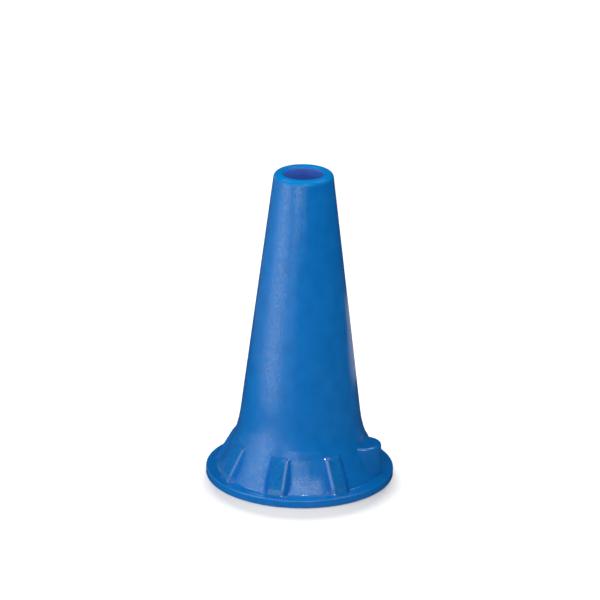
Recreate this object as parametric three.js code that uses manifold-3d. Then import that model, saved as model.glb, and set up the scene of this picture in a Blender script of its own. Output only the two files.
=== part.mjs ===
// Ear speculum: one moulded plastic funnel, open from the socket in its base to the bore at its tip.
// Units are millimetres. +Z points to the tip, the origin is the centre of the underside of the flange,
// and the large lug stands on +X.

import * as THREE from 'three';
import { mergeVertices } from 'three/addons/utils/BufferGeometryUtils.js';
import Module from 'manifold-3d';

// Overall sizes
const height = 32.8;
const tipRadius = 3.01;
const barrelFootRadius = 6.38;
const barrelFootHeight = 5.4;

// Flange and the flare above it
const flangeRadius = 9.7;
const flangeThickness = 0.8;
const flangeEdgeRound = 0.12;
const flareFootRadius = 8.5;
const flareFootRound = 0.3;
const flareBendHeightShare = 0.24;
const flareSag = 0.2;
const flareBendRound = 8;
const flareBlendRound = 11;

// Lip at the tip
const boreRadius = 2;
const boreLength = 0.9;
const lipOuterRound = 0.55;
const lipInnerRound = 0.4;

// Lumen of the barrel
const barrelFootWall = 0.8;

// Socket that the nose of the instrument head plugs into
const socketDepth = 3;
const socketSeatRadius = 6.35;
const socketMouthRadius = 6.75;
const socketMouthRound = 0.3;

// Grip ribs on the flare: wedges with a flat slanted face, sides and top that fall away from it
const gripPlaces = 8;
const ribTop = 4.1;
const ribFaceWidth = 1.5;
const ribFootProud = 0.45;
const ribTopProud = 0.18;
const ribRoot = 0.7;
const ribSideSlant = Math.PI / 4;
const ribEdgeRound = 0.18;
const ribCornerRound = 0.2;

// Large lug, an upright round post that takes the place of one rib
const lugTop = 4.17;
const lugAxisRadius = 6.82;
const lugTopRadius = 1.84;
const lugFootRadius = 1.9;
const lugEdgeRound = 0.3;

// Keyway inside the large lug, for the locating pin of the instrument head
const keywayWidth = 2;
const keywayHeight = 2.6;
const keywayCover = 1.1;
const keywayRound = 0.5;

// Fineness of the facets, and the overrun of a cut past the face that it opens
const turnSegments = 96;
const postSegments = 48;
const arcStep = Math.PI / 12;
const ribEdgeSteps = 3;
const cutOverrun = 0.5;
const largestRoundShare = 0.48;

const wasm = await Module();
wasm.setup();

// A corner of an outline, with the radius of the arc that rounds it
function corner(across, up, round = 0) {
  return { at: new THREE.Vector2(across, up), round };
}

// The arc that rounds one corner, held short of the middle of the edges beside it
function cornerArc(before, here, after) {
  if (here.round === 0) return [here.at.clone()];
  const toBefore = before.at.clone().sub(here.at);
  const toAfter = after.at.clone().sub(here.at);
  const room = Math.min(toBefore.length(), toAfter.length()) * largestRoundShare;
  toBefore.normalize();
  toAfter.normalize();
  const halfAngle = Math.acos(THREE.MathUtils.clamp(toBefore.dot(toAfter), -1, 1)) / 2;
  const reach = Math.min(here.round / Math.tan(halfAngle), room);
  const radius = reach * Math.tan(halfAngle);
  const inward = toBefore.clone().add(toAfter).normalize();
  const centre = here.at.clone().addScaledVector(inward, radius / Math.sin(halfAngle));
  const start = here.at.clone().addScaledVector(toBefore, reach).sub(centre);
  const sweep = Math.PI - 2 * halfAngle;
  const turn = Math.sign(toAfter.cross(toBefore));
  const steps = Math.max(2, Math.round(sweep / arcStep));
  const points = [];
  for (let step = 0; step <= steps; step += 1) {
    const angle = turn * sweep * (step / steps);
    points.push(start.clone().rotateAround(new THREE.Vector2(), angle).add(centre));
  }
  return points;
}

// A closed outline through the given corners, each rounded by its own arc
function roundedOutline(corners) {
  return corners.flatMap((here, index) => {
    const before = corners.at(index - 1);
    const after = corners[(index + 1) % corners.length];
    return cornerArc(before, here, after);
  });
}

// A closed three.js geometry becomes a solid for joining and cutting
function solidFrom(geometry) {
  geometry.deleteAttribute('normal');
  geometry.deleteAttribute('uv');
  const merged = mergeVertices(geometry);
  return new wasm.Manifold(new wasm.Mesh({
    numProp: 3,
    vertProperties: new Float32Array(merged.attributes.position.array),
    triVerts: new Uint32Array(merged.index.array),
  }));
}

// The finished solid goes back to a three.js geometry
function geometryFrom(solid) {
  const mesh = solid.getMesh();
  const geometry = new THREE.BufferGeometry();
  geometry.setAttribute('position', new THREE.BufferAttribute(mesh.vertProperties, 3));
  geometry.setIndex(new THREE.BufferAttribute(mesh.triVerts, 1));
  geometry.computeVertexNormals();
  return geometry;
}

// Where the flare bends: below it the flare opens faster towards the flange
function flareBend() {
  const up = THREE.MathUtils.lerp(flangeThickness, barrelFootHeight, flareBendHeightShare);
  const chord = THREE.MathUtils.lerp(flareFootRadius, barrelFootRadius, flareBendHeightShare);
  return new THREE.Vector2(chord - flareSag, up);
}

// Radius of the flare above its bend, at a height above the underside
function flareRadius(up) {
  const bend = flareBend();
  const rise = (barrelFootHeight - up) / (barrelFootHeight - bend.y);
  return THREE.MathUtils.lerp(barrelFootRadius, bend.x, rise);
}

// The funnel: flange, flare, barrel, lip, lumen and socket in one turned profile
function funnel() {
  const lumenFootRadius = barrelFootRadius - barrelFootWall;
  const bend = flareBend();
  const outline = roundedOutline([
    corner(socketMouthRadius, 0, socketMouthRound),
    corner(flangeRadius, 0, flangeEdgeRound),
    corner(flangeRadius, flangeThickness, flangeEdgeRound),
    corner(flareFootRadius, flangeThickness, flareFootRound),
    corner(bend.x, bend.y, flareBendRound),
    corner(barrelFootRadius, barrelFootHeight, flareBlendRound),
    corner(tipRadius, height, lipOuterRound),
    corner(boreRadius, height, lipInnerRound),
    corner(boreRadius, height - boreLength),
    corner(lumenFootRadius, socketDepth),
    corner(socketSeatRadius, socketDepth),
  ]);
  outline.push(outline[0].clone());
  const geometry = new THREE.LatheGeometry(outline, turnSegments);
  geometry.rotateX(Math.PI / 2);
  return solidFrom(geometry);
}

// A closed solid through a stack of convex outlines with one count of points, the last one uppermost
function loft(rings) {
  const count = rings[0].length;
  const index = [];
  for (let ring = 1; ring < rings.length; ring += 1) {
    const low = (ring - 1) * count;
    const high = ring * count;
    for (let here = 0; here < count; here += 1) {
      const next = (here + 1) % count;
      index.push(low + here, low + next, high + next);
      index.push(low + here, high + next, high + here);
    }
  }
  const top = (rings.length - 1) * count;
  for (let here = 2; here < count; here += 1) {
    index.push(0, here, here - 1);
    index.push(top, top + here - 1, top + here);
  }
  const geometry = new THREE.BufferGeometry().setFromPoints(rings.flat());
  geometry.setIndex(index);
  return geometry;
}

// One outline of a rib, seen square to its face: spread wider the deeper it lies behind the face
function ribRing(faceLength, footRun, spread, depth) {
  const half = ribFaceWidth / 2 + spread;
  const outline = roundedOutline([
    corner(-half, -footRun),
    corner(half, -footRun),
    corner(half, faceLength + spread, ribCornerRound),
    corner(-half, faceLength + spread, ribCornerRound),
  ]);
  return outline.map((point) => new THREE.Vector3(point.x, point.y, -depth));
}

// One grip rib: its face runs from the flange to near the flare's top, and its root lies in the flare
function rib() {
  const faceFoot = new THREE.Vector3(flareFootRadius + ribFootProud, 0, flangeThickness);
  const faceTop = new THREE.Vector3(flareRadius(ribTop) + ribTopProud, 0, ribTop);
  const faceUp = faceTop.clone().sub(faceFoot);
  const faceLength = faceUp.length();
  faceUp.normalize();
  const aside = new THREE.Vector3(0, 1, 0);
  const faceOut = aside.clone().cross(faceUp);
  const rings = [ribRing(faceLength, flangeThickness, ribRoot * Math.tan(ribSideSlant), ribRoot)];
  const edgeSweep = Math.PI / 2 - ribSideSlant;
  const edgeReach = ribEdgeRound * Math.tan(edgeSweep / 2);
  for (let step = ribEdgeSteps; step >= 0; step -= 1) {
    const angle = edgeSweep * (step / ribEdgeSteps);
    const spread = ribEdgeRound * Math.sin(angle) - edgeReach;
    rings.push(ribRing(faceLength, flangeThickness, spread, ribEdgeRound * (1 - Math.cos(angle))));
  }
  const geometry = loft(rings);
  geometry.applyMatrix4(new THREE.Matrix4().makeBasis(aside, faceUp, faceOut).setPosition(faceFoot));
  return solidFrom(geometry);
}

// The large lug: a round post with its foot in the flange, half sunk in the flare
function lug() {
  const foot = flangeThickness / 2;
  const outline = roundedOutline([
    corner(0, foot),
    corner(lugFootRadius, foot),
    corner(lugTopRadius, lugTop, lugEdgeRound),
    corner(0, lugTop),
  ]);
  const geometry = new THREE.LatheGeometry(outline, postSegments);
  geometry.rotateX(Math.PI / 2);
  geometry.translate(lugAxisRadius, 0, 0);
  return solidFrom(geometry);
}

// Everything below the middle of the flange, to trim the feet of the ribs
function groundBlock() {
  const reach = 2 * (flangeRadius + flareFootRadius);
  const geometry = new THREE.BoxGeometry(reach, reach, reach);
  geometry.translate(0, 0, flangeThickness / 2 - reach / 2);
  return solidFrom(geometry);
}

// The room inside the funnel, kept open where the roots of the ribs and the lug reach through the wall
function lumenAndSocket() {
  const lumenFootRadius = barrelFootRadius - barrelFootWall;
  const outline = [
    new THREE.Vector2(0, -cutOverrun),
    new THREE.Vector2(socketMouthRadius, -cutOverrun),
    new THREE.Vector2(socketMouthRadius, 0),
    new THREE.Vector2(socketSeatRadius, socketDepth),
    new THREE.Vector2(lumenFootRadius, socketDepth),
    new THREE.Vector2(boreRadius, height - boreLength),
    new THREE.Vector2(0, height - boreLength),
  ];
  const geometry = new THREE.LatheGeometry(outline, turnSegments);
  geometry.rotateX(Math.PI / 2);
  return solidFrom(geometry);
}

// The keyway: an upright slot in the wall of the socket, closed above and covered by the lug
function keyway() {
  const inner = boreRadius;
  const outer = lugAxisRadius + lugTopRadius - keywayCover;
  const shape = new THREE.Shape(roundedOutline([
    corner(inner, -keywayWidth / 2),
    corner(outer, -keywayWidth / 2, keywayRound),
    corner(outer, keywayWidth / 2, keywayRound),
    corner(inner, keywayWidth / 2),
  ]));
  const geometry = new THREE.ExtrudeGeometry(shape, {
    depth: keywayHeight + cutOverrun,
    bevelEnabled: false,
  });
  geometry.translate(0, 0, -cutOverrun);
  return solidFrom(geometry);
}

// The whole moulding
function speculum() {
  const pads = [lug()];
  for (let place = 1; place < gripPlaces; place += 1) {
    pads.push(rib().rotate([0, 0, (place / gripPlaces) * 360]));
  }
  const trim = groundBlock().add(lumenAndSocket());
  const trimmed = pads.map((solid) => solid.subtract(trim));
  return trimmed.reduce((body, solid) => body.add(solid), funnel()).subtract(keyway());
}

const bluePlastic = new THREE.MeshStandardMaterial({
  color: 0x1263b0,
  roughness: 0.42,
  metalness: 0,
});

const body = new THREE.Mesh(geometryFrom(speculum()), bluePlastic);
body.name = 'speculum_body';

const group = new THREE.Group();
group.add(body);

export default group;
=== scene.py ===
import math

import bpy
import numpy as np
from mathutils import Matrix, Vector


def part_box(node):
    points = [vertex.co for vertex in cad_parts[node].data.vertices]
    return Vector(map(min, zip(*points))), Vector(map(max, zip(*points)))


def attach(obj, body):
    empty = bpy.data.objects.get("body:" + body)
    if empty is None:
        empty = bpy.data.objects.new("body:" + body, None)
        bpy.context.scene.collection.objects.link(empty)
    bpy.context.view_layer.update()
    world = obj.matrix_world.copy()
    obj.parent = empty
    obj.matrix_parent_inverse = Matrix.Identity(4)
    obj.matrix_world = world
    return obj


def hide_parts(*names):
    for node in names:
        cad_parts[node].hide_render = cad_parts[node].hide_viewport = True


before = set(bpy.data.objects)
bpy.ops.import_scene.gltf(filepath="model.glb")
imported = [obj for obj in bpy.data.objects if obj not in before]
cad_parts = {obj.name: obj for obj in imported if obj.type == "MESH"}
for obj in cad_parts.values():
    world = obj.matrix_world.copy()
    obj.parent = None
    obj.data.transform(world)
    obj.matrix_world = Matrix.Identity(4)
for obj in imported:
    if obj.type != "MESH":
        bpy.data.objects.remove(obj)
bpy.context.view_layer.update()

MM = 0.001
NODE = "speculum_body"

# Overall sizes, read from the frame, in millimetres like every size of the form below
NODE_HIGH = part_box(NODE)[1]
HEIGHT = NODE_HIGH[2] / MM
FLANGE_RADIUS = NODE_HIGH[0] / MM

# Outer form
TIP_RADIUS = 3.01
BARREL_FOOT_RADIUS = 6.38
BARREL_FOOT_HEIGHT = 5.4
FLANGE_THICKNESS = 0.8
FLANGE_EDGE_ROUND = 0.12
FLARE_FOOT_RADIUS = 8.5
FLARE_FOOT_ROUND = 0.3
FLARE_BEND_RADIUS = 7.79
FLARE_BEND_HEIGHT = 1.9
FLARE_BEND_ROUND = 8.0
FLARE_BLEND_ROUND = 11.0
LIP_OUTER_ROUND = 0.55
LIP_INNER_ROUND = 0.4

# Inner form
BORE_RADIUS = 2.0
BORE_LENGTH = 0.9
BORE_EASE_ROUND = 3.0
LUMEN_FOOT_RADIUS = 5.54
LUMEN_FOOT_ROUND = 0.15
SOCKET_DEPTH = 3.0
SOCKET_SEAT_RADIUS = 6.35
SOCKET_SEAT_ROUND = 0.15
SOCKET_MOUTH_RADIUS = 6.75
SOCKET_MOUTH_ROUND = 0.3

# Grip ribs, in all the grip places but the first
GRIP_PLACES = 8
RIB_TOP = 4.1
RIB_TOP_RADIUS = 7.09
RIB_FOOT_RADIUS = 8.95
RIB_FACE_WIDTH = 1.5
RIB_FOOT_WIDTH = 2.8
RIB_SIDE_SLANT = math.radians(46)
RIB_TOP_SLANT = math.radians(40)
RIB_ROUND = 0.18

# Large lug on +X, in the first grip place: an upright post sunk in the flare
LUG_TOP = 4.17
LUG_AXIS_RADIUS = 6.82
LUG_TOP_RADIUS = 1.84
LUG_FOOT_RADIUS = 1.9
LUG_EDGE_ROUND = 0.3

# Keyway behind the lug
KEYWAY_WIDTH = 2.0
KEYWAY_HEIGHT = 2.6
KEYWAY_FACE_RADIUS = 7.54
KEYWAY_ROUND = 0.15

# Fillets where the ribs, the lug and the keyway run into the wall
RIB_FILLET = 0.06
LUG_FILLET = 0.06
KEYWAY_FILLET = 0.06

# Rows of the mesh: points along the section, fine beside the pads (the ribs and the lug).
# Rows below PAD_ZONE_TOP outside, and between the radii of KEYWAY_ZONE inside, can be pushed.
# The slacks take in rows that lie right on a radius or a level
ARC_STEP = math.radians(7)
ARC_LEAST_STEPS = 3
FINE_STEP = 0.06
COARSE_STEP = 0.4
PAD_ZONE_TOP = max(RIB_TOP, LUG_TOP) + 1
KEYWAY_ZONE = (LUMEN_FOOT_RADIUS + LUMEN_FOOT_ROUND + 0.1, KEYWAY_FACE_RADIUS + 0.5)
MOUTH_SLACK = 0.01
TOUCH = 1e-6

# Columns of the mesh: side by side on a pad and a margin round it, then spread to the next pad.
# Inward of PARALLEL_RADIUS they run to the axis instead of side by side
COLUMN_STEP = 0.05
PAD_MARGIN = 0.45
OPEN_COLUMNS = 12
PARALLEL_RADIUS = 6.5

# Distance grids between two corners, across and up, and the search in them for a pad's surface.
# FIELD_LAST_CELL keeps a look-up off the grid's rim, and AIR_MARGIN is how far the section of the
# air goes on under and beyond the flange
FIELD_STEP = 0.02
FIELD_LOW = (PARALLEL_RADIUS - 2, -1)
FIELD_HIGH = (FLANGE_RADIUS + 1.5, PAD_ZONE_TOP + 3)
FIELD_LAST_CELL = 1.001
AIR_MARGIN = 2
PAD_REACH = 4
SEARCH_ROUNDS = 26

# Masks for the material. The polished side of each grip place is -1 or 1, the edge of the rib
# that shines, and the lug has none
RIB_MASK_EDGE = -0.02
RIB_MASK_FADE = 0.08
EDGE_MASK_SHARE = 0.6
CREASE_POLISH = 0.5
POLISHED_SIDES = (0, -1, -1, -1, 1, 1, 1, -1)

# Colours of the plastic. The tip's paler blue and the inner wall's lighter violet are painted
# light, and the darker blue of the rib sides is painted shade
PLASTIC_IOR = 1.49
DEEP_BLUE = (0.0005, 0.13, 0.42, 1)
PALE_BLUE = (0.0005, 0.145, 0.465, 1)
# Painted light: the thin tip paler, as if lit through the wall
TIP_PAINTED_GLOW_BLUE = (0.001, 0.183, 0.51, 1)
# Painted glow: the inner wall lighter and violet, as if lit through the translucent wall
INNER_PAINTED_GLOW_VIOLET = (0.055, 0.145, 0.56, 1)
# Painted shade: the sides of the ribs darker
RIB_SIDE_PAINTED_SHADE_BLUE = (0.0005, 0.112, 0.405, 1)
RIB_DARK_BLUE = (0.0005, 0.097, 0.31, 1)
RIB_LIGHT_BLUE = (0.0005, 0.138, 0.42, 1)

# Noises of the plastic: scale per metre, detail
GRAIN = (6500, 1.0)
SPECKLE = (5200, 1.0)
SPARKLE = (7300, 0.0)
CLOUD = (700, 4.0)
MOTTLE = (4200, 2.0)
WAVES = (420, 2.0)

# Ranges of the plastic: what comes in, from and to, and what goes out, from and to. The height
# is in metres
CLOUD_TO_COLOUR = (0.35, 0.65, 0.0, 1.0)
HEIGHT_TO_THIN = (0.0322, 0.03255, 0.0, 1.0)
MOTTLE_TO_COLOUR = (0.35, 0.65, 0.0, 1.0)
RIB_TO_SIDE = (0.1, 0.5, 0.0, 1.0)
RIB_TO_FACE = (0.5, 1.0, 0.0, 1.0)
CLOUD_TO_ROUGHNESS = (0.3, 0.7, 0.15, 0.21)
MOTTLE_TO_ROUGHNESS = (0.35, 0.65, 0.5, 0.7)
RIB_TO_DULL = (0.0, 0.5, 0.0, 1.0)
DULL_TO_SHINE = (0.0, 1.0, 1.0, 0.12)
DULL_TO_GLITTER = (0.0, 1.0, 1.0, 0.15)
GRAIN_TO_SHINE = (0.4, 0.6, 0.4, 0.84)
SPARKLE_TO_GLITTER = (0.62, 0.72, 0.0, 0.9)
RIB_TO_SPECKLE = (0.0, 0.5, 0.1, 1.0)
EDGE_ROUGHNESS = 0.1

# Depth of the plastic's relief, in metres
GRAIN_DEPTH = 0.000005
SPECKLE_DEPTH = 0.000012
WAVE_DEPTH = 0.000025

# The floor, in metres, a hair below the base. Its glow for the camera is low round the base, a
# painted shadow about the shade's centre, and rises away from it: from radius, to radius, from,
# to. Its tones are the plain one and the one in a gloss
FLOOR_HALF = 1.5
FLOOR_GAP = 0.00001
FLOOR_PAINTED_SHADOW_CENTRE = (0.0009, -0.003, 0)
FLOOR_LIFT_ROUND_PAINTED_SHADOW = (0.0088, 0.0112, 0.0, 0.56)
FLOOR_LIFT_FAR = (0.012, 0.12, 0.0, 0.23)
FLOOR_TONES = (0.7, 0.03)

# The world's glow beside what the camera sees, and its share in the plastic's gloss
WORLD_GLOW = 0.34
WORLD_GLOSS_SHARE = 0.05

# Camera, set to the photograph's viewing angle: its place in degrees and metres, small turns in
# radians, lens and sensor in millimetres
CAMERA_AZIMUTH = 16.2
CAMERA_ELEVATION = 21.366
CAMERA_DISTANCE = 0.43635
CAMERA_STAND_HEIGHT = 0.01299
CAMERA_YAW = -0.00045
CAMERA_PITCH = 0.0129
CAMERA_ROLL = 0.01389
CAMERA_LENS = 254.74
CAMERA_SENSOR = 36.0
CAMERA_CLIP_START = CAMERA_DISTANCE / 20

# Power of a lamp at glow 1, in watts per square metre
LAMP_POWER = 4

# The key light: upright strips side by side, as start angle, end angle and glow
KEY_DISTANCE = 0.055
KEY_HEIGHT = 0.052
KEY_CENTRE = 0.026
KEY_STRIPS = (
    (-150, -122, 0.08),
    (-122, -108, 0.13),
    (-108, -98, 0.19),
    (-98, -90, 0.3),
    (-90, -83, 0.55),
    (-83, -76, 0.78),
    (-76, -69, 1.0),
    (-69, -62, 1.18),
    (-62, -55, 1.22),
    (-55, -48, 1.05),
    (-48, -41, 0.76),
    (-41, -34, 0.42),
    (-34, -27, 0.22),
    (-27, -20, 0.16),
    (-20, -12, 0.1),
)

# The other panels: name, azimuth from the camera's side, elevation, distance, size, glow
PANELS_CENTRE = 0.003
PANELS = (
    ("front", -3, 36.5, 0.1, (0.12, 0.0405), 1.35),
    ("front_middle", -6, 22.5, 0.1, (0.071, 0.009), 1.1),
    ("front_low", -14, 17, 0.1, (0.041, 0.0105), 0.75),
    ("front_lower", -17, 11.5, 0.1, (0.03, 0.0087), 0.6),
    ("front_foot", -28, 6, 0.1, (0.03, 0.0105), 0.3),
    ("over", 22, 60, 0.1, (0.15, 0.054), 0.13),
    ("top", 0, 88, 0.1, (0.054, 0.054), 0.5),
    ("left_back", -138, 14, 0.1, (0.05, 0.03), 0.2),
    ("right_high", 100, 60, 0.1, (0.05, 0.05), 2.0),
    ("left_high", -95, 60, 0.1, (0.05, 0.05), 2.2),
    ("spark", 8, 52, 0.3, (0.011, 0.008), 450),
)
TIP_KEY_CENTRE = 0.0275
TIP_KEY = ("tip_key", -12, 0, KEY_DISTANCE, (0.044, 0.009), 0.48)

# Light from the table behind the object: name, azimuth, distance, size, glow
TABLE_GLOW_HEIGHT = 0.0005
RIGHT_GLOW = ("right_glow", 140, 0.05, 0.03, 0.35)


def corner(across, up, rounding):
    return np.array([across, up]), rounding


def corner_arc(before, here, after):
    """The arc that rounds one corner of an outline."""
    point, rounding = here
    to_before = before[0] - point
    to_after = after[0] - point
    to_before = to_before / np.linalg.norm(to_before)
    to_after = to_after / np.linalg.norm(to_after)
    half = math.acos(np.clip(to_before @ to_after, -1, 1)) / 2
    inward = to_before + to_after
    centre = point + inward / np.linalg.norm(inward) * rounding / math.sin(half)
    start = point + to_before * rounding / math.tan(half) - centre
    turn = np.sign(to_after[0] * to_before[1] - to_after[1] * to_before[0])
    sweep = math.pi - 2 * half
    steps = max(ARC_LEAST_STEPS, round(sweep / ARC_STEP))
    points = []
    for step in range(steps + 1):
        angle = turn * sweep * step / steps
        cos, sin = math.cos(angle), math.sin(angle)
        spoke = np.array([cos * start[0] - sin * start[1], sin * start[0] + cos * start[1]])
        points.append(centre + spoke)
    return points


def funnel_outline():
    """The closed section of the funnel, from the socket's mouth round the outside to the tip and
    back inside."""
    corners = [
        corner(SOCKET_MOUTH_RADIUS, 0, SOCKET_MOUTH_ROUND),
        corner(FLANGE_RADIUS, 0, FLANGE_EDGE_ROUND),
        corner(FLANGE_RADIUS, FLANGE_THICKNESS, FLANGE_EDGE_ROUND),
        corner(FLARE_FOOT_RADIUS, FLANGE_THICKNESS, FLARE_FOOT_ROUND),
        corner(FLARE_BEND_RADIUS, FLARE_BEND_HEIGHT, FLARE_BEND_ROUND),
        corner(BARREL_FOOT_RADIUS, BARREL_FOOT_HEIGHT, FLARE_BLEND_ROUND),
        corner(TIP_RADIUS, HEIGHT, LIP_OUTER_ROUND),
        corner(BORE_RADIUS, HEIGHT, LIP_INNER_ROUND),
        corner(BORE_RADIUS, HEIGHT - BORE_LENGTH, BORE_EASE_ROUND),
        corner(LUMEN_FOOT_RADIUS, SOCKET_DEPTH, LUMEN_FOOT_ROUND),
        corner(SOCKET_SEAT_RADIUS, SOCKET_DEPTH, SOCKET_SEAT_ROUND),
    ]
    points = []
    for i, here in enumerate(corners):
        points += corner_arc(corners[i - 1], here, corners[(i + 1) % len(corners)])
    return np.array(points)


def inner_air(outline):
    """The section of the air inside the funnel and under the flange, closed along the axis."""
    tip = int(np.argmax(outline[:, 1]))
    mouth_end = SOCKET_MOUTH_RADIUS + SOCKET_MOUTH_ROUND + MOUTH_SLACK
    mouth = int(np.argmax(outline[:, 0] > mouth_end))
    beyond = FLANGE_RADIUS + AIR_MARGIN
    rest = [[beyond, 0], [beyond, -AIR_MARGIN], [0, -AIR_MARGIN], [0, HEIGHT]]
    return np.vstack([outline[tip + 1:], outline[:mouth], rest])


def step_at(point):
    """How far apart the rows lie: close beside the pads and the keyway, wide on the plain cone."""
    low = point[1] < PAD_ZONE_TOP
    return FINE_STEP if low and point[0] < FLANGE_RADIUS - FLANGE_EDGE_ROUND else COARSE_STEP


def spaced(outline):
    """The outline with points added along its long straight stretches."""
    rows = []
    for here, there in zip(outline, np.roll(outline, -1, axis=0)):
        length = np.linalg.norm(there - here)
        rows.append(here)
        gone = step_at(here)
        while gone < length - step_at(here) / 2:
            point = here + (there - here) * gone / length
            rows.append(point)
            gone += step_at(point)
    return np.array(rows)


class Field:
    """Signed distance from a closed section, on a grid: negative inside it."""

    def __init__(self, outline):
        self.low = np.array(FIELD_LOW)
        self.shape = np.ceil((np.array(FIELD_HIGH) - self.low) / FIELD_STEP).astype(int) + 1
        across = self.low[0] + FIELD_STEP * np.arange(self.shape[0])
        up = self.low[1] + FIELD_STEP * np.arange(self.shape[1])
        x, y = (grid.ravel() for grid in np.meshgrid(across, up, indexing="ij"))
        nearest = np.full(x.shape, np.inf)
        inside = np.zeros(x.shape, bool)
        for (ax, ay), (bx, by) in zip(outline, np.roll(outline, -1, axis=0)):
            dx, dy = bx - ax, by - ay
            along = np.clip(((x - ax) * dx + (y - ay) * dy) / (dx * dx + dy * dy), 0, 1)
            nearest = np.minimum(nearest, np.hypot(x - ax - along * dx, y - ay - along * dy))
            if ay != by:
                crosses = (ay > y) != (by > y)
                inside ^= crosses & (x < ax + (y - ay) * dx / dy)
        self.values = np.where(inside, -nearest, nearest).reshape(self.shape)

    def at(self, across, up):
        i = np.clip((across - self.low[0]) / FIELD_STEP, 0, self.shape[0] - FIELD_LAST_CELL)
        j = np.clip((up - self.low[1]) / FIELD_STEP, 0, self.shape[1] - FIELD_LAST_CELL)
        i0, j0 = i.astype(int), j.astype(int)
        u, v = i - i0, j - j0
        lower = self.values[i0, j0] * (1 - u) + self.values[i0 + 1, j0] * u
        upper = self.values[i0, j0 + 1] * (1 - u) + self.values[i0 + 1, j0 + 1] * u
        return lower * (1 - v) + upper * v


def rounded_meet(faces, rounding):
    """Signed distance of the space behind all the faces, with its edges rounded."""
    pulled = [face + rounding for face in faces]
    outside = np.sqrt(sum(np.maximum(p, 0) ** 2 for p in pulled))
    return outside + np.minimum(np.maximum.reduce(pulled), 0) - rounding


def soft_join(a, b, fillet):
    """Signed distance of two spaces together, with a fillet in the corner between them."""
    mix = np.clip(0.5 + 0.5 * (b - a) / fillet, 0, 1)
    return b + (a - b) * mix - fillet * mix * (1 - mix)


def rib_planes(across, aside, up):
    """Signed distances of the planes of a wedge: its slanted face, its slanted top and its
    slanted sides."""
    run = RIB_FOOT_RADIUS - RIB_TOP_RADIUS
    rise = RIB_TOP - FLANGE_THICKNESS
    face = ((across - RIB_TOP_RADIUS) * rise + (up - RIB_TOP) * run) / math.hypot(run, rise)
    beside = np.abs(aside) - RIB_FACE_WIDTH / 2
    side = beside * math.cos(RIB_SIDE_SLANT) + face * math.sin(RIB_SIDE_SLANT)
    top = (up - RIB_TOP) * math.cos(RIB_TOP_SLANT) + face * math.sin(RIB_TOP_SLANT)
    return face, top, side


def rib_space(across, aside, up):
    return rounded_meet(rib_planes(across, aside, up), RIB_ROUND)


def lug_faces(across, aside, up):
    """Signed distances of the wall and the top of the lug: a round post, a little wider at its
    foot, carried straight inward from its axis."""
    height = (up - FLANGE_THICKNESS) / (LUG_TOP - FLANGE_THICKNESS)
    radius = LUG_FOOT_RADIUS + (LUG_TOP_RADIUS - LUG_FOOT_RADIUS) * height
    return np.hypot(np.maximum(across - LUG_AXIS_RADIUS, 0), aside) - radius, up - LUG_TOP


def lug_space(across, aside, up):
    return rounded_meet(lug_faces(across, aside, up), LUG_EDGE_ROUND)


def keyway_space(across, aside, up):
    side = np.abs(aside) - KEYWAY_WIDTH / 2
    return rounded_meet([across - KEYWAY_FACE_RADIUS, up - KEYWAY_HEIGHT, side], KEYWAY_ROUND)


def half_pad(width):
    """Sideways places of the columns over half a pad and its margin, from the middle out."""
    count = math.ceil((width / 2 + PAD_MARGIN) / COLUMN_STEP)
    return np.arange(count + 1) * COLUMN_STEP


def sector(place):
    """One eighth of the columns: how far aside each lies on the pad, its share of the way to the
    next sector, and where the pad's own columns end."""
    half = half_pad(2 * LUG_FOOT_RADIUS if place == 0 else RIB_FOOT_WIDTH)
    beyond = np.arange(1, OPEN_COLUMNS) / OPEN_COLUMNS
    on_pad = np.concatenate([-half[:0:-1], half])
    aside = np.concatenate([on_pad, np.full(beyond.shape, half[-1])])
    share = np.concatenate([np.zeros_like(on_pad), beyond])
    return aside, share, half[-1]


def column_angles(radius):
    """Angle of every column on a row of the given radius."""
    held = max(radius, PARALLEL_RADIUS)
    angles = []
    for place in range(GRIP_PLACES):
        aside, share, _ = sector(place)
        next_edge = sector((place + 1) % GRIP_PLACES)[2]
        start = math.tau * place / GRIP_PLACES
        end = math.tau * (place + 1) / GRIP_PLACES - math.asin(next_edge / held)
        own = start + np.arcsin(aside / held)
        angles.append(own + share * (end - own))
    return np.concatenate(angles)


def turned(rows):
    """The rows of the section, each turned into a ring of points."""
    angles = np.array([column_angles(radius) for radius in rows[:, 0]])
    return np.stack([
        rows[:, :1] * np.cos(angles),
        rows[:, :1] * np.sin(angles),
        np.repeat(rows[:, 1:], angles.shape[1], axis=1),
    ], axis=-1)


def in_place(points, place):
    """The points as seen from a grip place: across from the axis, aside and up."""
    angle = math.tau * place / GRIP_PLACES
    cos, sin = math.cos(angle), math.sin(angle)
    across = points[:, 0] * cos + points[:, 1] * sin
    aside = points[:, 1] * cos - points[:, 0] * sin
    return across, aside, points[:, 2]


def pushed(points, place, field, space, fillet):
    """The points, moved along the place's slanted direction until they leave the joined space."""
    angle = math.tau * place / GRIP_PLACES
    slanted = math.sqrt(0.5) * np.array([math.cos(angle), math.sin(angle), 1.0])

    def joined(distance):
        moved = points + distance[:, None] * slanted
        across, aside, up = in_place(moved, place)
        wall = field.at(np.hypot(across, aside), up)
        return soft_join(wall, space(across, aside, up), fillet)

    near = np.zeros(len(points))
    far = np.full(len(points), PAD_REACH)
    for _ in range(SEARCH_ROUNDS):
        middle = (near + far) / 2
        within = joined(middle) < 0
        near = np.where(within, middle, near)
        far = np.where(within, far, middle)
    return points + near[:, None] * slanted


def push_block(grid, block, place, field, space, fillet):
    """Pushes one block of the grid, and returns its points."""
    moved = pushed(grid[block].reshape(-1, 3), place, field, space, fillet)
    grid[block] = moved.reshape(grid[block].shape)
    return moved


def on_solid(faces, rounding):
    """One on the solid behind the faces, fading to nothing a little way off it."""
    return np.clip(1 - np.maximum.reduce(faces) / rounding, 0, 1)


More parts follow.
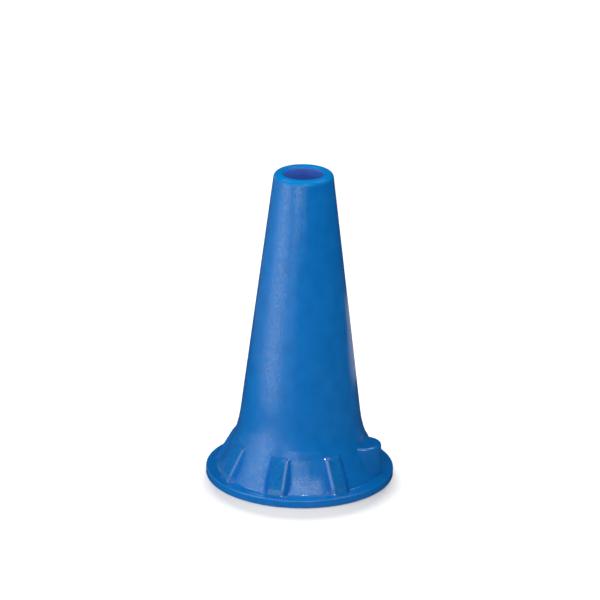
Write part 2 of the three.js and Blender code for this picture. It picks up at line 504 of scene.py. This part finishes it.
def edge_mask(faces, rounding):
    """One where two of the faces meet in a rounded edge."""
    second_nearest = np.sort([face + rounding for face in faces], axis=0)[-2]
    along_edge = np.clip(second_nearest / (EDGE_MASK_SHARE * rounding), 0, 1)
    return along_edge * on_solid(faces, rounding)


def rib_masks(points, place):
    """One on the flat face of a rib and a half on its sides; and one along its polished edge."""
    across, aside, up = in_place(points, place)
    planes = rib_planes(across, aside, up)
    face, top, side = planes
    flat = np.clip((RIB_MASK_EDGE - np.maximum(top, side)) / RIB_MASK_FADE, 0, 1)
    flat = flat * (face > -RIB_ROUND)
    polish = np.clip(POLISHED_SIDES[place] * aside / (RIB_FACE_WIDTH / 2), 0, 1)
    return (on_solid(planes, RIB_ROUND) + flat) / 2, edge_mask(planes, RIB_ROUND) * polish


def speculum_mesh():
    """The whole moulding as one closed grid of points, rows along the section and columns round
    the axis, with masks of the ribs, the inner wall and the polished edges."""
    outline = funnel_outline()
    plastic = Field(outline)
    air = Field(inner_air(outline))
    rows = spaced(outline)
    across, up = rows[:, 0], rows[:, 1]
    grid = turned(rows)

    # Rows that may be pushed out to a pad or back to the keyway, and rows of the inner wall
    flange_edge = int(np.argmax(across > FLANGE_RADIUS - TOUCH))
    tip = int(np.argmax(up))
    index = np.arange(len(rows))
    outside = (index > flange_edge) & (index < tip)
    outside &= (up > FLANGE_THICKNESS - TOUCH) & (up < PAD_ZONE_TOP)
    inside = ((index > tip) | (index < flange_edge)) & (up < SOCKET_DEPTH)
    inside &= (across > KEYWAY_ZONE[0]) & (across < KEYWAY_ZONE[1])
    inner_wall = ((index > tip) & (up < HEIGHT - LIP_INNER_ROUND / 2)) | (index < flange_edge)
    crease = np.abs(across - FLARE_FOOT_RADIUS) < FLARE_FOOT_ROUND
    crease &= np.abs(up - FLANGE_THICKNESS) < FLARE_FOOT_ROUND

    ribs, inner, edges = (np.zeros(grid.shape[:2]) for _ in range(3))
    inner[inner_wall] = 1
    first = 0
    for place in range(GRIP_PLACES):
        share = sector(place)[1]
        columns = first + np.flatnonzero(share == 0)
        first += len(share)
        block = np.ix_(np.flatnonzero(outside), columns)
        if place == 0:
            points = push_block(grid, block, place, plastic, lug_space, LUG_FILLET)
            edge = edge_mask(lug_faces(*in_place(points, place)), LUG_EDGE_ROUND)
            within = np.ix_(np.flatnonzero(inside), columns)
            push_block(grid, within, place, air, keyway_space, KEYWAY_FILLET)
        else:
            points = push_block(grid, block, place, plastic, rib_space, RIB_FILLET)
            rib, edge = rib_masks(points, place)
            ribs[block] = rib.reshape(ribs[block].shape)
        edges[block] = edge.reshape(edges[block].shape)
    edges[crease] = CREASE_POLISH
    return grid, {"rib": ribs, "inner": inner, "edge": edges}


def mesh_object(name, grid, masks):
    """A closed grid of points becomes a smooth Blender mesh that carries the masks."""
    count_rows, count_columns = grid.shape[:2]
    i = np.arange(count_rows)[:, None] * count_columns
    j = np.arange(count_columns)[None, :]
    i2 = np.roll(i, -1, axis=0)
    j2 = np.roll(j, -1, axis=1)
    quads = np.stack([i + j, i + j2, i2 + j2, i2 + j], axis=-1)
    mesh = bpy.data.meshes.new(name)
    mesh.from_pydata((grid.reshape(-1, 3) * MM).tolist(), [], quads.reshape(-1, 4).tolist())
    mesh.shade_smooth()
    for key, values in masks.items():
        mesh.attributes.new(key, "FLOAT", "POINT").data.foreach_set("value", values.ravel())
    mesh.update()
    made = bpy.data.objects.new(name, mesh)
    bpy.context.scene.collection.objects.link(made)
    return made


class Nodes:
    """A short way to write the node tree of a material or a world."""

    def __init__(self, owner):
        owner.use_nodes = True
        self.tree = owner.node_tree
        self.tree.nodes.clear()

    def add(self, kind, **settings):
        node = self.tree.nodes.new(kind)
        for key, value in settings.items():
            setattr(node, key, value)
        return node

    def feed(self, value, socket):
        """Links an output to the socket, or sets a plain value on it."""
        if isinstance(value, bpy.types.NodeSocket):
            self.tree.links.new(value, socket)
        else:
            socket.default_value = value

    def place(self):
        return self.add("ShaderNodeTexCoord").outputs["Object"]

    def mask(self, name):
        return self.add("ShaderNodeAttribute", attribute_name=name).outputs["Fac"]

    def noise(self, place, scale, detail):
        node = self.add("ShaderNodeTexNoise")
        self.feed(scale, node.inputs["Scale"])
        self.feed(detail, node.inputs["Detail"])
        self.feed(place, node.inputs["Vector"])
        return node.outputs["Fac"]

    def ranged(self, value, low, high, to_low, to_high):
        node = self.add("ShaderNodeMapRange")
        numbers = {"From Min": low, "From Max": high, "To Min": to_low, "To Max": to_high}
        for key, number in numbers.items():
            self.feed(number, node.inputs[key])
        self.feed(value, node.inputs["Value"])
        return node.outputs[0]

    def combined(self, operation, a, b):
        node = self.add("ShaderNodeMath", operation=operation)
        self.feed(a, node.inputs[0])
        self.feed(b, node.inputs[1])
        return node.outputs[0]

    def mixed(self, kind, share, a, b):
        node = self.add("ShaderNodeMix", data_type=kind)
        self.feed(share, node.inputs["Factor"])
        self.feed(a, node.inputs["A"])
        self.feed(b, node.inputs["B"])
        return node.outputs["Result"]

    def relief(self, height, depth, strength, under=None):
        node = self.add("ShaderNodeBump")
        self.feed(depth, node.inputs["Distance"])
        self.feed(strength, node.inputs["Strength"])
        self.feed(height, node.inputs["Height"])
        if under is not None:
            self.feed(under, node.inputs["Normal"])
        return node.outputs["Normal"]

    def finish(self, kind, surface):
        self.feed(surface, self.add(kind).inputs["Surface"])


def blue_plastic():
    """Satin blue plastic with a fine grain and duller grip ribs; painted light makes the thin tip
    paler and the inner wall lighter and violet, and painted shade darkens the sides of the ribs.
    """
    material = bpy.data.materials.new("blue_plastic")
    nodes = Nodes(material)
    shader = nodes.add("ShaderNodeBsdfPrincipled")
    nodes.feed(PLASTIC_IOR, shader.inputs["IOR"])
    place = nodes.place()
    rib, inner, edge = (nodes.mask(name) for name in ("rib", "inner", "edge"))
    grain, speckle, sparkle, cloud, mottle, waves = (
        nodes.noise(place, *values) for values in (GRAIN, SPECKLE, SPARKLE, CLOUD, MOTTLE, WAVES)
    )
    split = nodes.add("ShaderNodeSeparateXYZ")
    nodes.feed(place, split.inputs[0])
    thin = nodes.ranged(split.outputs["Z"], *HEIGHT_TO_THIN)

    # Colour: cloudy; paler at the thin tip, painted light for light through the thin wall; lighter
    # and violet on the inner wall, a painted glow; darker on the rib sides, painted shade; mottled
    # on the ribs
    colour = nodes.mixed("RGBA", nodes.ranged(cloud, *CLOUD_TO_COLOUR), DEEP_BLUE, PALE_BLUE)
    colour = nodes.mixed("RGBA", thin, colour, TIP_PAINTED_GLOW_BLUE)
    # Painted glow on the inner wall, lighter and violet
    colour = nodes.mixed("RGBA", inner, colour, INNER_PAINTED_GLOW_VIOLET)
    # Painted shade on the sides of the ribs
    colour = nodes.mixed("RGBA", nodes.ranged(rib, *RIB_TO_SIDE), colour, RIB_SIDE_PAINTED_SHADE_BLUE)
    mottled = nodes.ranged(mottle, *MOTTLE_TO_COLOUR)
    rib_colour = nodes.mixed("RGBA", mottled, RIB_DARK_BLUE, RIB_LIGHT_BLUE)
    colour = nodes.mixed("RGBA", nodes.ranged(rib, *RIB_TO_FACE), colour, rib_colour)
    nodes.feed(colour, shader.inputs["Base Color"])

    # Roughness: satin, rough on the ribs, smooth along the polished edges
    roughness = nodes.ranged(cloud, *CLOUD_TO_ROUGHNESS)
    rib_roughness = nodes.ranged(mottle, *MOTTLE_TO_ROUGHNESS)
    roughness = nodes.mixed("FLOAT", rib, roughness, rib_roughness)
    roughness = nodes.mixed("FLOAT", edge, roughness, EDGE_ROUGHNESS)
    nodes.feed(roughness, shader.inputs["Roughness"])

    # Strength of the gloss: uneven with the grain, with sparkles, weak on the ribs and the tip
    dull = nodes.combined("MAXIMUM", nodes.ranged(rib, *RIB_TO_DULL), thin)
    shine = nodes.ranged(grain, *GRAIN_TO_SHINE)
    shine = nodes.combined("MULTIPLY", nodes.ranged(dull, *DULL_TO_SHINE), shine)
    glitter = nodes.ranged(sparkle, *SPARKLE_TO_GLITTER)
    glitter = nodes.combined("MULTIPLY", nodes.ranged(dull, *DULL_TO_GLITTER), glitter)
    shine = nodes.combined("ADD", shine, glitter)
    nodes.feed(nodes.combined("MAXIMUM", shine, edge), shader.inputs["Specular IOR Level"])

    # Relief: grain, and speckle that is strong on the ribs, over long shallow waves
    fine = nodes.relief(grain, GRAIN_DEPTH, 1.0)
    coarse = nodes.relief(speckle, SPECKLE_DEPTH, nodes.ranged(rib, *RIB_TO_SPECKLE), fine)
    nodes.feed(nodes.relief(waves, WAVE_DEPTH, 1.0, coarse), shader.inputs["Normal"])
    nodes.finish("ShaderNodeOutputMaterial", shader.outputs["BSDF"])
    return material


def pale_floor():
    """White paper that keeps the object's shadow, with a painted shadow round the base where its
    glow for the camera is low, and is dim in the plastic's gloss.
    """
    material = bpy.data.materials.new("pale_floor")
    nodes = Nodes(material)
    path = nodes.add("ShaderNodeLightPath")
    diffuse = nodes.add("ShaderNodeBsdfDiffuse")
    tone = nodes.ranged(path.outputs["Is Glossy Ray"], 0.0, 1.0, *FLOOR_TONES)
    nodes.feed(tone, diffuse.inputs["Color"])
    away = nodes.add("ShaderNodeVectorMath", operation="DISTANCE")
    nodes.feed(nodes.place(), away.inputs[0])
    nodes.feed(FLOOR_PAINTED_SHADOW_CENTRE, away.inputs[1])
    # The near lift stays low round the base, which paints a shadow there
    near, far = (
        nodes.ranged(away.outputs["Value"], *lift) for lift in (FLOOR_LIFT_ROUND_PAINTED_SHADOW, FLOOR_LIFT_FAR)
    )
    lift = nodes.combined("ADD", near, far)
    glow = nodes.add("ShaderNodeEmission")
    seen = nodes.combined("MULTIPLY", path.outputs["Is Camera Ray"], lift)
    nodes.feed(seen, glow.inputs["Strength"])
    joined = nodes.add("ShaderNodeAddShader")
    nodes.feed(diffuse.outputs[0], joined.inputs[0])
    nodes.feed(glow.outputs[0], joined.inputs[1])
    nodes.finish("ShaderNodeOutputMaterial", joined.outputs[0])
    return material


def white_world():
    """White to the camera, an even glow for the diffuse light, and dark in the plastic's gloss."""
    world = bpy.data.worlds.new("studio")
    bpy.context.scene.world = world
    nodes = Nodes(world)
    path = nodes.add("ShaderNodeLightPath")
    background = nodes.add("ShaderNodeBackground")
    seen = nodes.ranged(path.outputs["Is Camera Ray"], 0.0, 1.0, WORLD_GLOW, 1.0)
    gloss = nodes.ranged(path.outputs["Is Glossy Ray"], 0.0, 1.0, 1.0, WORLD_GLOSS_SHARE)
    nodes.feed(nodes.combined("MULTIPLY", seen, gloss), background.inputs["Strength"])
    nodes.finish("ShaderNodeOutputWorld", background.outputs[0])


def frame_of(forward):
    """The level right of a forward direction, and its up."""
    right = forward.cross(Vector((0, 0, 1))).normalized()
    return right, right.cross(forward)


def photo_camera():
    azimuth = math.radians(CAMERA_AZIMUTH)
    elevation = math.radians(CAMERA_ELEVATION)
    forward = Vector((
        -math.sin(azimuth) * math.cos(elevation),
        math.cos(azimuth) * math.cos(elevation),
        -math.sin(elevation),
    ))
    place = Vector((0, 0, CAMERA_STAND_HEIGHT)) - forward * CAMERA_DISTANCE
    right, up = frame_of(forward)
    forward = (forward + CAMERA_YAW * right + CAMERA_PITCH * up).normalized()
    right, up = frame_of(forward)
    cos, sin = math.cos(CAMERA_ROLL), math.sin(CAMERA_ROLL)
    right, up = cos * right + sin * up, cos * up - sin * right
    data = bpy.data.cameras.new("camera")
    data.lens = CAMERA_LENS
    data.sensor_width = CAMERA_SENSOR
    data.clip_start = CAMERA_CLIP_START
    camera = bpy.data.objects.new("camera", data)
    bpy.context.scene.collection.objects.link(camera)
    turn = Matrix((right, up, -forward)).transposed().to_4x4()
    camera.matrix_world = Matrix.Translation(place) @ turn
    bpy.context.scene.camera = camera


def lamp(name, width, depth, glow):
    """An area light of even glow, hidden from the camera."""
    data = bpy.data.lights.new(name, "AREA")
    data.shape = "RECTANGLE"
    data.size, data.size_y = width, depth
    data.energy = glow * LAMP_POWER * width * depth
    made = bpy.data.objects.new(name, data)
    made.visible_camera = False
    bpy.context.scene.collection.objects.link(made)
    return made


def panel(name, azimuth, elevation, distance, size, glow, centre):
    """A light panel that faces the axis, placed by its angles from the camera's side."""
    a, e = math.radians(azimuth + CAMERA_AZIMUTH), math.radians(elevation)
    away = Vector((math.sin(a) * math.cos(e), -math.cos(a) * math.cos(e), math.sin(e)))
    made = lamp(name, *size, glow)
    made.location = Vector((0, 0, centre)) + away * distance
    made.rotation_mode = "QUATERNION"
    made.rotation_quaternion = away.to_track_quat("Z", "Y")


def floor_glow(name, azimuth, distance, size, glow):
    """Light from the table behind the object, for the pale line that it draws along the sides."""
    a = math.radians(azimuth + CAMERA_AZIMUTH)
    made = lamp(name, size, size, glow)
    made.location = Vector((math.sin(a), -math.cos(a), 0)) * distance
    made.location.z = TABLE_GLOW_HEIGHT
    made.rotation_euler = (math.pi, 0, 0)


def lights():
    for start, end, glow in KEY_STRIPS:
        width = 2 * KEY_DISTANCE * math.tan(math.radians(end - start) / 2)
        middle = (start + end) / 2
        panel("key", middle, 0, KEY_DISTANCE, (width, KEY_HEIGHT), glow, KEY_CENTRE)
    for values in PANELS:
        panel(*values, PANELS_CENTRE)
    panel(*TIP_KEY, TIP_KEY_CENTRE)
    floor_glow(*RIGHT_GLOW)


def floor():
    half = FLOOR_HALF
    mesh = bpy.data.meshes.new("floor")
    square = ((-half, -half), (half, -half), (half, half), (-half, half))
    mesh.from_pydata([(x, y, -FLOOR_GAP) for x, y in square], [], [(0, 1, 2, 3)])
    made = bpy.data.objects.new("floor", mesh)
    made.data.materials.append(pale_floor())
    bpy.context.scene.collection.objects.link(made)


def speculum():
    made = mesh_object("speculum", *speculum_mesh())
    made.data.materials.append(blue_plastic())
    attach(made, "root")
    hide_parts(NODE)


bpy.context.scene.view_settings.view_transform = "Standard"
photo_camera()
white_world()
floor()
lights()
speculum()
